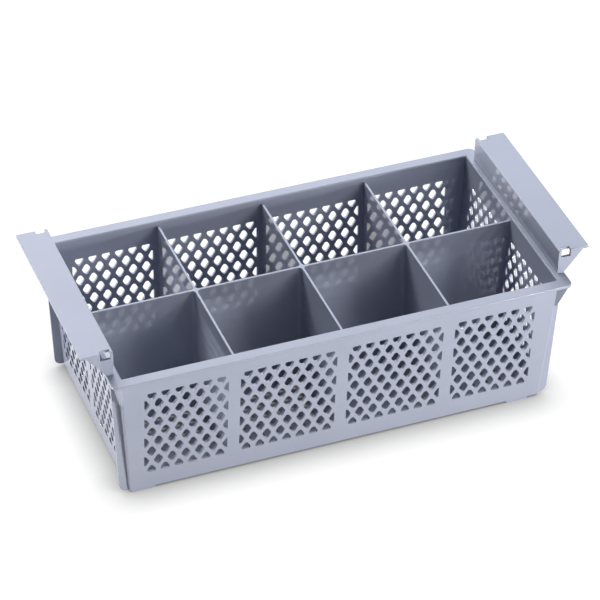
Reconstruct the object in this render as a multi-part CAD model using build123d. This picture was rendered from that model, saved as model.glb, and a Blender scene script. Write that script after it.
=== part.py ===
from build123d import *
from build123d.topology import SkipClean
import math
import os

# Compartments, in millimetres: the spacing of the dividers sets the size of the basket
compartments_long = 4
compartments_wide = 2
compartment_length = 91.4
compartment_width = 91.0
end_allowance = 1.4

# Walls and floor, with the drafts in degrees
rim_height = 122.0
wall_thickness = 2.2
long_wall_draft = 2.6
end_wall_draft = 3.8
wall_edge_radius = 1.8
floor_thickness = 2.5
divider_thickness = 2.0
divider_drop = 4.0
divider_edge_radius = 0.3
crossing_radius = 3.0

# Rim
rim_flange = 10.1
rim_thickness = 2.5
rim_corner_radius = 5.0
rim_inner_bevel = 0.8
rim_outer_radius = 0.6

# Diamond perforations of the walls
hole_pitch_across = 11.5
hole_pitch_up = 19.9
hole_strand = 3.1
hole_corner_radius = 1.9
hole_side_clip = 0.4
hole_end_clip = 1.8
panel_strip = 9.0
panel_end_margin = 9.5
panel_sill = 15.5
panel_header = 15.0

# Drain holes of the floor
drain_diameter = 7.0
drain_pitch = 12.0
drain_margin = 4.0

# Grips standing on the two short sides of the rim
grip_setback = 3.9
grip_height = 22.3
grip_length = 167.0
grip_reach = 26.2
grip_thickness = 2.3
grip_edge_radius = 0.8
gusset_thickness = 2.3
gusset_tip_inset = 4.8
notch_width = 8.2
notch_depth = 4.0
notch_height = 6.8

# Ribs and flares at the corners of the short sides
rib_reach = 7.2
rib_draft = 3.0
rib_thickness = 2.2
rib_inset = 2.3
rib_corner_radius = 6.0
flare_height = 22.5
flare_foot_reach = 1.0
flare_reach = 8.1
flare_thickness = 2.4

# Feet under the long walls
foot_height = 2.6
foot_length = 19.5
foot_depth = 8.0
foot_setback = 0.8
foot_near_corner = 2.8
foot_far_corner = 9.9

# Worked-out levels and half sizes
rim_bottom = rim_height - rim_thickness
wall_top = rim_height - rim_thickness / 2
floor_top = foot_height + floor_thickness
floor_middle = foot_height + floor_thickness / 2
divider_top = rim_height - divider_drop
grip_top = rim_height + grip_height
opening_half_length = compartments_long * compartment_length / 2 + end_allowance
opening_half_width = compartments_wide * compartment_width / 2
rim_half_length = opening_half_length + rim_flange
rim_half_width = opening_half_width + rim_flange
end_slope = math.tan(math.radians(end_wall_draft))
long_slope = math.tan(math.radians(long_wall_draft))


def inside_half_length(z):
    """Half the inside length of the basket at height z."""
    return opening_half_length - end_slope * (rim_height - z)


def inside_half_width(z):
    """Half the inside width of the basket at height z."""
    return opening_half_width - long_slope * (rim_height - z)


def outside_half_length(z):
    """Half the outside length of the walls at height z."""
    return inside_half_length(z) + wall_thickness


def outside_half_width(z):
    """Half the outside width of the walls at height z."""
    return inside_half_width(z) + wall_thickness


def middle_half_length(z):
    """Half the length to the middle of the end walls at height z."""
    return inside_half_length(z) + wall_thickness / 2


def middle_half_width(z):
    """Half the width to the middle of the long walls at height z."""
    return inside_half_width(z) + wall_thickness / 2


# Diamond hole, whole and clipped by the edges of its panel
cell_half_width = hole_pitch_across / 2
cell_half_height = hole_pitch_up / 2
cell_side_distance = cell_half_width * cell_half_height / math.hypot(cell_half_width, cell_half_height)
hole_share = 1 - hole_strand / (2 * cell_side_distance)
hole_half_width = cell_half_width * hole_share
hole_half_height = cell_half_height * hole_share


def diamond_hole():
    """Upright rounded diamond, centred on the origin."""
    corners = [(hole_half_width, 0), (0, hole_half_height), (-hole_half_width, 0), (0, -hole_half_height)]
    diamond = Polygon(*corners)
    return fillet(diamond.vertices(), hole_corner_radius)


def clipped_hole(across, up):
    """Diamond hole cut off just past its middle on the side that across and up point to."""
    hole = diamond_hole()
    reach = hole_pitch_across + hole_pitch_up
    clip_x = across * (hole_side_clip - reach / 2)
    clip_y = up * (hole_end_clip - reach / 2)
    return hole & Pos(clip_x, clip_y) * Rectangle(reach, reach)


whole_hole = diamond_hole()
top_hole = clipped_hole(0, 1)
bottom_hole = clipped_hole(0, -1)
right_hole = clipped_hole(1, 0)
left_hole = clipped_hole(-1, 0)


def panel_columns(length):
    """Number of hole columns that fit into a length of wall."""
    return max(1, int(length / hole_pitch_across))


panel_rows = max(1, int((rim_bottom - floor_top - panel_sill - panel_header) / hole_pitch_up))
panel_base = floor_top + panel_sill - foot_height


def panel_holes(start, columns):
    """Wires of one panel's holes, from its left edge at start, on a wall plane whose origin is the wall's foot."""
    placed = []
    for column in range(columns):
        x = start + (column + 0.5) * hole_pitch_across
        placed.append(Pos(x, panel_base) * bottom_hole)
        placed.append(Pos(x, panel_base + panel_rows * hole_pitch_up) * top_hole)
        for row in range(1, panel_rows):
            placed.append(Pos(x, panel_base + row * hole_pitch_up) * whole_hole)
    for column in range(columns + 1):
        x = start + column * hole_pitch_across
        hole = left_hole if column == 0 else right_hole if column == columns else whole_hole
        for row in range(panel_rows):
            placed.append(Pos(x, panel_base + (row + 0.5) * hole_pitch_up) * hole)
    return [hole.face().outer_wire() for hole in placed]


def perforated_face(outline, holes):
    """Flat face with the given outline points and hole wires."""
    return Face(Wire.make_polygon([Vector(x, y, 0) for x, y in outline], close=True), holes)


# Panels between the dividers keep equal strips, and the outer panels start one half strip from their divider
inner_columns = panel_columns(compartment_length - panel_strip)
half_strip = (compartment_length - inner_columns * hole_pitch_across) / 2
last_divider = (compartments_long / 2 - 1) * compartment_length
outer_columns = panel_columns(inside_half_length(floor_top) - last_divider - half_strip - panel_end_margin)
side_columns = panel_columns(inside_half_width(floor_top) - half_strip - panel_end_margin)


def long_wall():
    """Front wall, with one perforated panel for each compartment."""
    holes = []
    for place in range(1, compartments_long - 1):
        start = (place - compartments_long / 2) * compartment_length + half_strip
        holes += panel_holes(start, inner_columns)
    outer_start = last_divider + half_strip
    holes += panel_holes(outer_start, outer_columns)
    holes += panel_holes(-outer_start - outer_columns * hole_pitch_across, outer_columns)
    top = (wall_top - foot_height) / math.cos(math.radians(long_wall_draft))
    foot_end = inside_half_length(foot_height)
    top_end = inside_half_length(wall_top)
    face = perforated_face([(-foot_end, 0), (foot_end, 0), (top_end, top), (-top_end, top)], holes)
    outward = Vector(0, -1, -long_slope)
    plane = Plane(origin=(0, -outside_half_width(foot_height), foot_height), x_dir=(1, 0, 0), z_dir=outward)
    return extrude(plane * face, amount=wall_thickness, dir=(0, 1, 0), clean=False)


def end_wall():
    """Wall at the +X end, with one perforated panel on each side of the long divider."""
    holes = panel_holes(half_strip, side_columns)
    holes += panel_holes(-half_strip - side_columns * hole_pitch_across, side_columns)
    top = (wall_top - foot_height) / math.cos(math.radians(end_wall_draft))
    foot_end = inside_half_width(foot_height)
    top_end = inside_half_width(wall_top)
    face = perforated_face([(-foot_end, 0), (foot_end, 0), (top_end, top), (-top_end, top)], holes)
    outward = Vector(1, 0, -end_slope)
    plane = Plane(origin=(outside_half_length(foot_height), 0, foot_height), x_dir=(0, 1, 0), z_dir=outward)
    return extrude(plane * face, amount=wall_thickness, dir=(-1, 0, 0), clean=False)


def corner_post():
    """Upright post that joins the walls at the +X +Y corner, with a rounded outer edge."""
    sections = []
    for z in (foot_height, wall_top):
        square = Rectangle(wall_thickness, wall_thickness)
        rounded = fillet(square.vertices().sort_by(Axis((0, 0, 0), (1, 1, 0)))[-1], wall_edge_radius)
        sections.append(Pos(middle_half_length(z), middle_half_width(z), z) * rounded)
    return loft(sections, ruled=True)


def floor_plate():
    """Floor with a square grid of round drain holes in each compartment."""
    drain = Circle(drain_diameter / 2)
    half_divider = divider_thickness / 2
    holes = []
    for place in range(compartments_long // 2):
        x_low = place * compartment_length + half_divider
        x_high = min((place + 1) * compartment_length - half_divider, inside_half_length(floor_top))
        y_low = half_divider
        y_high = inside_half_width(floor_top)
        across = int((x_high - x_low - 2 * drain_margin - drain_diameter) / drain_pitch) + 1
        deep = int((y_high - y_low - 2 * drain_margin - drain_diameter) / drain_pitch) + 1
        for side in (-1, 1):
            for half in (-1, 1):
                centre = Pos(side * (x_low + x_high) / 2, half * (y_low + y_high) / 2)
                for spot in GridLocations(drain_pitch, drain_pitch, across, deep):
                    holes.append((centre * spot * drain).face().outer_wire())
    x = middle_half_length(floor_middle)
    y = middle_half_width(floor_middle)
    face = perforated_face([(-x, -y), (x, -y), (x, y), (-x, y)], holes)
    return extrude(Pos(0, 0, foot_height) * face, amount=floor_thickness, dir=(0, 0, 1), clean=False)


def mouth(low, high, spread):
    """Space inside the walls from low to high, spread outward at its top."""
    sections = []
    for z, extra in ((low, 0), (high, spread)):
        size = (2 * inside_half_length(z) + 2 * extra, 2 * inside_half_width(z) + 2 * extra)
        sections.append(Pos(0, 0, z) * Rectangle(*size))
    return loft(sections, ruled=True)


def rim():
    """Flat rim around the mouth, with its inner edge on the planes of the inside of the walls."""
    outline = RectangleRounded(2 * rim_half_length, 2 * rim_half_width, rim_corner_radius)
    plate = extrude(Pos(0, 0, rim_bottom) * outline, amount=rim_thickness)
    plate = fillet(plate.faces().sort_by(Axis.Z)[-1].outer_wire().edges(), rim_outer_radius)
    opening = mouth(rim_bottom - rim_thickness, rim_height + rim_thickness, 0)
    bevel = mouth(rim_height - rim_inner_bevel, rim_height, rim_inner_bevel)
    return plate - opening - bevel


def divider(half_length_at):
    """Upright plate along X whose ends are sunk into the walls that half_length_at gives."""
    low = half_length_at(floor_middle)
    high = half_length_at(divider_top)
    outline = [(-low, floor_middle), (low, floor_middle), (high, divider_top), (-high, divider_top)]
    profile = Plane.XZ * Polygon(*outline, align=None)
    return extrude(profile, amount=divider_thickness / 2, both=True)


def divider_grid():
    """Dividers at the row and column boundaries, with rounded crossings and softened top edges."""
    plates = []
    for row in range(1, compartments_wide):
        plates.append(Pos(0, (row - compartments_wide / 2) * compartment_width, 0) * divider(middle_half_length))
    for column in range(1, compartments_long):
        x = (column - compartments_long / 2) * compartment_length
        plates.append(Pos(x, 0, 0) * Rot(0, 0, 90) * divider(middle_half_width))
    grid = Part() + plates
    grid = fillet(grid.edges().filter_by(Axis.Z), crossing_radius)
    outline = grid.faces().sort_by(Axis.Z)[-1].outer_wire().edges()
    sides = outline.filter_by(lambda edge: edge.length > 1.5 * divider_thickness)
    return fillet(sides, divider_edge_radius)


def grip():
    """Grip at the +X end: a wall on the rim, a flange out from its top and a notched gusset at each end."""
    wall_in = opening_half_length + grip_setback
    wall_out = wall_in + grip_thickness
    tip = wall_in + grip_reach
    under = grip_top - grip_thickness
    sunk = rim_height - rim_thickness / 2
    section = Polygon((wall_in, sunk), (wall_out, sunk), (wall_out, under), (tip, under),
                      (tip, grip_top), (wall_in, grip_top), align=None)
    bar = extrude(Plane.XZ * section, amount=grip_length / 2, both=True)
    bar = fillet(bar.faces().sort_by(Axis.Z)[-1].edges().filter_by(Axis.Y), grip_edge_radius)
    gusset_section = Polygon((wall_in + grip_thickness / 2, sunk), (rim_half_length - rim_outer_radius, sunk),
                             (rim_half_length - rim_outer_radius, rim_height), (tip - gusset_tip_inset, under),
                             (tip - gusset_tip_inset, under + grip_thickness / 2),
                             (wall_in + grip_thickness / 2, under + grip_thickness / 2), align=None)
    gusset = extrude(Plane.XZ * gusset_section, amount=gusset_thickness)
    notch = Box(notch_width, 2 * notch_depth, notch_height, align=(Align.MIN, Align.CENTER, Align.MAX))
    for side in (-1, 1):
        outer_face = side * grip_length / 2
        bar += Pos(0, outer_face + (gusset_thickness if side < 0 else 0), 0) * gusset
    for side in (-1, 1):
        bar -= Pos(wall_out, side * grip_length / 2, grip_top) * notch
    return bar


def corner_rib():
    """Upright rib on the +X end wall beside its +Y corner, with a rounded lower corner."""
    foot_tip = outside_half_length(foot_height) + rib_reach
    top_tip = foot_tip + math.tan(math.radians(rib_draft)) * (wall_top - foot_height)
    outline = Polygon((middle_half_length(foot_height), foot_height), (foot_tip, foot_height),
                      (top_tip, wall_top), (middle_half_length(wall_top), wall_top), align=None)
    low_corner = outline.vertices().group_by(Axis.Y)[0].sort_by(Axis.X)[-1]
    section = fillet(low_corner, rib_corner_radius)
    rib_face = outside_half_width(foot_height) - rib_inset
    return Pos(0, rib_face, 0) * extrude(Plane.XZ * section, amount=rib_thickness)


def corner_flare():
    """Diagonal web under the rim, from the +X +Y corner of the walls out to the corner of the rim."""
    foot_level = rim_bottom - flare_height
    foot_corner = -flare_height * (end_slope + long_slope) / math.sqrt(2)
    sunk = wall_thickness / math.sqrt(2)
    outline = Polygon((foot_corner - sunk, foot_level), (foot_corner + flare_foot_reach, foot_level),
                      (flare_reach, rim_bottom), (flare_reach, wall_top), (-sunk, wall_top), align=None)
    wall_corner = (outside_half_length(rim_bottom), outside_half_width(rim_bottom), 0)
    diagonal = Plane(origin=wall_corner, x_dir=(1, 1, 0), z_dir=(1, -1, 0))
    return extrude(diagonal * outline, amount=flare_thickness / 2, both=True)


def foot(corner_gap):
    """Pad under the +Y wall near its +X corner."""
    x = outside_half_length(foot_height) - corner_gap - foot_length / 2
    y = outside_half_width(foot_height) - foot_setback - foot_depth / 2
    height = foot_height + floor_thickness / 2
    return Pos(x, y, height / 2) * Box(foot_length, foot_depth, height)


def mirrored(piece):
    """A piece and its mirror image across the length of the basket."""
    return [piece, mirror(piece, about=Plane.YZ)]


def at_corners(piece):
    """A piece of the +X +Y corner and its mirror images at the other three corners."""
    return [image for half in (piece, mirror(piece, about=Plane.XZ)) for image in mirrored(half)]


# The feet stand closer to the corner at two opposite corners
near_foot = foot(foot_near_corner)
far_foot = mirror(foot(foot_far_corner), about=Plane.XZ)
feet = [near_foot, Rot(0, 0, 180) * near_foot, far_foot, Rot(0, 0, 180) * far_foot]

# All pieces are one moulding
front = long_wall()
framework = Part() + [rim(), divider_grid(), *mirrored(grip()), *at_corners(corner_post()),
                      *at_corners(corner_rib()), *at_corners(corner_flare()), *feet]
plates = [floor_plate(), front, mirror(front, about=Plane.XZ), *mirrored(end_wall())]
with SkipClean():
    basket = framework + plates

os.makedirs("parts", exist_ok=True)
export_step(basket, "parts/cutlery_basket.step")
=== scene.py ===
import math

import bpy
from mathutils import Euler, Matrix, Vector

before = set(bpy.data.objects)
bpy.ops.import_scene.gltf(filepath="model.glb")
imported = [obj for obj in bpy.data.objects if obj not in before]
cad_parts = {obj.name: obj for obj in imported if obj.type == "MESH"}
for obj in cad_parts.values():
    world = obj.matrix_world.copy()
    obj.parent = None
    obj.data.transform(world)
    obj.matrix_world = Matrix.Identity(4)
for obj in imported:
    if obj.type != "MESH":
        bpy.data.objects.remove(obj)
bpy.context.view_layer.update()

# Camera, in metres and degrees, in the frame of the part
camera_place = Vector((-0.7468, -1.8431, 1.6397))
camera_yaw = 22.03
camera_pitch = -38.05
camera_roll = 1.40
camera_lens_mm = 185.93
camera_sensor_mm = 36.0

# Colour of the plastic: the two greys of its mottling
grey_light = (0.350, 0.374, 0.462, 1.0)
grey_dark = (0.300, 0.320, 0.400, 1.0)
mottle_size = 0.045
mottle_detail = 4.0

# Gloss of the plastic: unevenly glossy upright faces, duller level faces
plastic_ior = 1.6
scuff_size = 0.004
scuff_detail = 6.0
roughness_low = 0.0
roughness_high = 0.08
roughness_level = 0.5
level_start = 0.5
level_full = 0.9

# Surface of the plastic: fine moulded grain and softened edges
grain_size = 0.0009
grain_detail = 2.0
grain_height = 0.000002
edge_radius = 0.0006
edge_samples = 4

# Floor and surroundings
floor_half_size = 6.0
floor_bounce = 0.60
floor_share = 0.12
floor_glow = 0.95
contact_shadow_reach = 0.03
backdrop_level = 1.0
ambient_level = 0.01

# Lamps, in metres
neutral_light = (1.0, 1.0, 1.0)
cool_light = (0.91, 0.98, 1.12)
light_distance = 1.9
light_target = Vector((0.0, 0.0, 0.08))


def add_camera():
    """Camera that stands where the photograph was taken from."""
    yaw = math.radians(camera_yaw)
    pitch = math.radians(camera_pitch)
    roll = math.radians(camera_roll)
    ahead = Vector((math.sin(yaw) * math.cos(pitch), math.cos(yaw) * math.cos(pitch), math.sin(pitch)))
    level = Vector((math.cos(yaw), -math.sin(yaw), 0.0))
    upright = level.cross(ahead)
    right = level * math.cos(roll) + upright * math.sin(roll)
    up = upright * math.cos(roll) - level * math.sin(roll)
    data = bpy.data.cameras.new("camera")
    data.lens = camera_lens_mm
    data.sensor_width = camera_sensor_mm
    data.sensor_fit = "HORIZONTAL"
    camera = bpy.data.objects.new("camera", data)
    bpy.context.scene.collection.objects.link(camera)
    turn = Matrix((right, up, -ahead)).transposed().to_4x4()
    camera.matrix_world = Matrix.Translation(camera_place) @ turn
    bpy.context.scene.camera = camera


def add_softbox(name, azimuth, elevation, width, height, power, tint=neutral_light):
    """Rectangular area light that faces the part from a direction given in degrees."""
    data = bpy.data.lights.new(name, "AREA")
    data.shape = "RECTANGLE"
    data.size = width
    data.size_y = height
    data.energy = power
    data.color = tint
    turn = Euler((0.0, -math.radians(elevation), math.radians(azimuth)))
    away = Vector((light_distance, 0.0, 0.0))
    away.rotate(turn)
    light = bpy.data.objects.new(name, data)
    light.location = light_target + away
    light.rotation_euler = (-away).to_track_quat("-Z", "Y").to_euler()
    bpy.context.scene.collection.objects.link(light)


def grey(value):
    """Opaque neutral colour of the given brightness."""
    return (value, value, value, 1.0)


def seen_directly(nodes, links):
    """Output that is 1 for rays that show the surroundings and 0 for rays that light the part."""
    path = nodes.new("ShaderNodeLightPath")
    seen = path.outputs["Is Camera Ray"]
    for kind in ("Is Glossy Ray", "Is Transmission Ray"):
        either = nodes.new("ShaderNodeMath")
        either.operation = "MAXIMUM"
        links.new(seen, either.inputs[0])
        links.new(path.outputs[kind], either.inputs[1])
        seen = either.outputs[0]
    return seen


def add_world():
    """White surroundings whose light on the part is only a soft fill."""
    world = bpy.data.worlds.new("surroundings")
    world.use_nodes = True
    nodes = world.node_tree.nodes
    links = world.node_tree.links
    strength = nodes.new("ShaderNodeMapRange")
    strength.inputs["To Min"].default_value = ambient_level
    strength.inputs["To Max"].default_value = backdrop_level
    links.new(seen_directly(nodes, links), strength.inputs["Value"])
    background = nodes["Background"]
    background.inputs["Color"].default_value = grey(1.0)
    links.new(strength.outputs["Result"], background.inputs["Strength"])
    bpy.context.scene.world = world


def floor_material():
    """Surface that shows white with the part's shadow, and throws back a moderate light."""
    material = bpy.data.materials.new("floor")
    material.use_nodes = True
    nodes = material.node_tree.nodes
    links = material.node_tree.links
    nodes.remove(nodes["Principled BSDF"])
    seen = seen_directly(nodes, links)
    lit = nodes.new("ShaderNodeBsdfDiffuse")
    lit.inputs["Color"].default_value = grey(floor_bounce)
    shaded = nodes.new("ShaderNodeBsdfDiffuse")
    shaded.inputs["Color"].default_value = grey(floor_share)
    contact = nodes.new("ShaderNodeAmbientOcclusion")
    contact.inputs["Distance"].default_value = contact_shadow_reach
    contact.inputs["Color"].default_value = grey(floor_glow)
    glow = nodes.new("ShaderNodeEmission")
    links.new(contact.outputs["Color"], glow.inputs["Color"])
    shown = nodes.new("ShaderNodeAddShader")
    links.new(shaded.outputs["BSDF"], shown.inputs[0])
    links.new(glow.outputs["Emission"], shown.inputs[1])
    mix = nodes.new("ShaderNodeMixShader")
    links.new(seen, mix.inputs["Fac"])
    links.new(lit.outputs["BSDF"], mix.inputs[1])
    links.new(shown.outputs["Shader"], mix.inputs[2])
    links.new(mix.outputs["Shader"], nodes["Material Output"].inputs["Surface"])
    return material


def add_floor():
    """Level square floor under the feet of the part."""
    half = floor_half_size
    corners = [(-half, -half, 0.0), (half, -half, 0.0), (half, half, 0.0), (-half, half, 0.0)]
    mesh = bpy.data.meshes.new("floor")
    mesh.from_pydata(corners, [], [(0, 1, 2, 3)])
    mesh.materials.append(floor_material())
    floor = bpy.data.objects.new("floor", mesh)
    bpy.context.scene.collection.objects.link(floor)


def noise(nodes, links, position, size, detail):
    """Noise texture over the part, with features of about the given size in metres."""
    texture = nodes.new("ShaderNodeTexNoise")
    texture.inputs["Scale"].default_value = 1.0 / size
    texture.inputs["Detail"].default_value = detail
    links.new(position, texture.inputs["Vector"])
    return texture.outputs["Fac"]


def mottled_colour(nodes, links, position):
    """Output that drifts between the two greys."""
    tint = nodes.new("ShaderNodeMix")
    tint.data_type = "RGBA"
    tint.inputs["A"].default_value = grey_dark
    tint.inputs["B"].default_value = grey_light
    links.new(noise(nodes, links, position, mottle_size, mottle_detail), tint.inputs["Factor"])
    return tint.outputs["Result"]


def uneven_roughness(nodes, links, position, normal):
    """Output with low, uneven roughness on upright faces and a higher one on faces that look up."""
    gloss = nodes.new("ShaderNodeMapRange")
    gloss.inputs["To Min"].default_value = roughness_low
    gloss.inputs["To Max"].default_value = roughness_high
    links.new(noise(nodes, links, position, scuff_size, scuff_detail), gloss.inputs["Value"])
    facing = nodes.new("ShaderNodeSeparateXYZ")
    links.new(normal, facing.inputs["Vector"])
    level = nodes.new("ShaderNodeMapRange")
    level.inputs["From Min"].default_value = level_start
    level.inputs["From Max"].default_value = level_full
    links.new(facing.outputs["Z"], level.inputs["Value"])
    worn = nodes.new("ShaderNodeMix")
    worn.inputs["B"].default_value = roughness_level
    links.new(level.outputs["Result"], worn.inputs["Factor"])
    links.new(gloss.outputs["Result"], worn.inputs["A"])
    return worn.outputs["Result"]


def grained_normal(nodes, links, position):
    """Output with softened edges and fine grain."""
    edges = nodes.new("ShaderNodeBevel")
    edges.samples = edge_samples
    edges.inputs["Radius"].default_value = edge_radius
    bump = nodes.new("ShaderNodeBump")
    bump.inputs["Distance"].default_value = grain_height
    links.new(noise(nodes, links, position, grain_size, grain_detail), bump.inputs["Height"])
    links.new(edges.outputs["Normal"], bump.inputs["Normal"])
    return bump.outputs["Normal"]


def moulded_plastic():
    """Grey satin polypropylene with faint mottling, uneven gloss and fine moulded grain."""
    material = bpy.data.materials.new("grey_polypropylene")
    material.use_nodes = True
    nodes = material.node_tree.nodes
    links = material.node_tree.links
    shader = nodes["Principled BSDF"]
    shader.inputs["IOR"].default_value = plastic_ior
    coordinates = nodes.new("ShaderNodeTexCoord")
    position = coordinates.outputs["Object"]
    normal = coordinates.outputs["Normal"]
    links.new(mottled_colour(nodes, links, position), shader.inputs["Base Color"])
    links.new(uneven_roughness(nodes, links, position, normal), shader.inputs["Roughness"])
    links.new(grained_normal(nodes, links, position), shader.inputs["Normal"])
    return material


add_camera()
add_world()
add_floor()
add_softbox("back_sheen", azimuth=72.0, elevation=40.0, width=1.5, height=1.3, power=23.0, tint=cool_light)
add_softbox("back_top", azimuth=105.0, elevation=52.0, width=0.9, height=0.9, power=17.0)
add_softbox("front_high", azimuth=300.0, elevation=24.0, width=1.2, height=0.6, power=14.0)
add_softbox("front_low", azimuth=299.0, elevation=1.0, width=0.45, height=0.24, power=29.0)
add_softbox("left_low", azimuth=165.0, elevation=-0.6, width=1.2, height=0.11, power=34.0)
add_softbox("left_back", azimuth=145.0, elevation=38.0, width=0.8, height=0.5, power=9.0)

plastic = moulded_plastic()
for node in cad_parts.values():
    for slot in node.material_slots:
        slot.material = plastic

bpy.context.scene.view_settings.view_transform = "Standard"
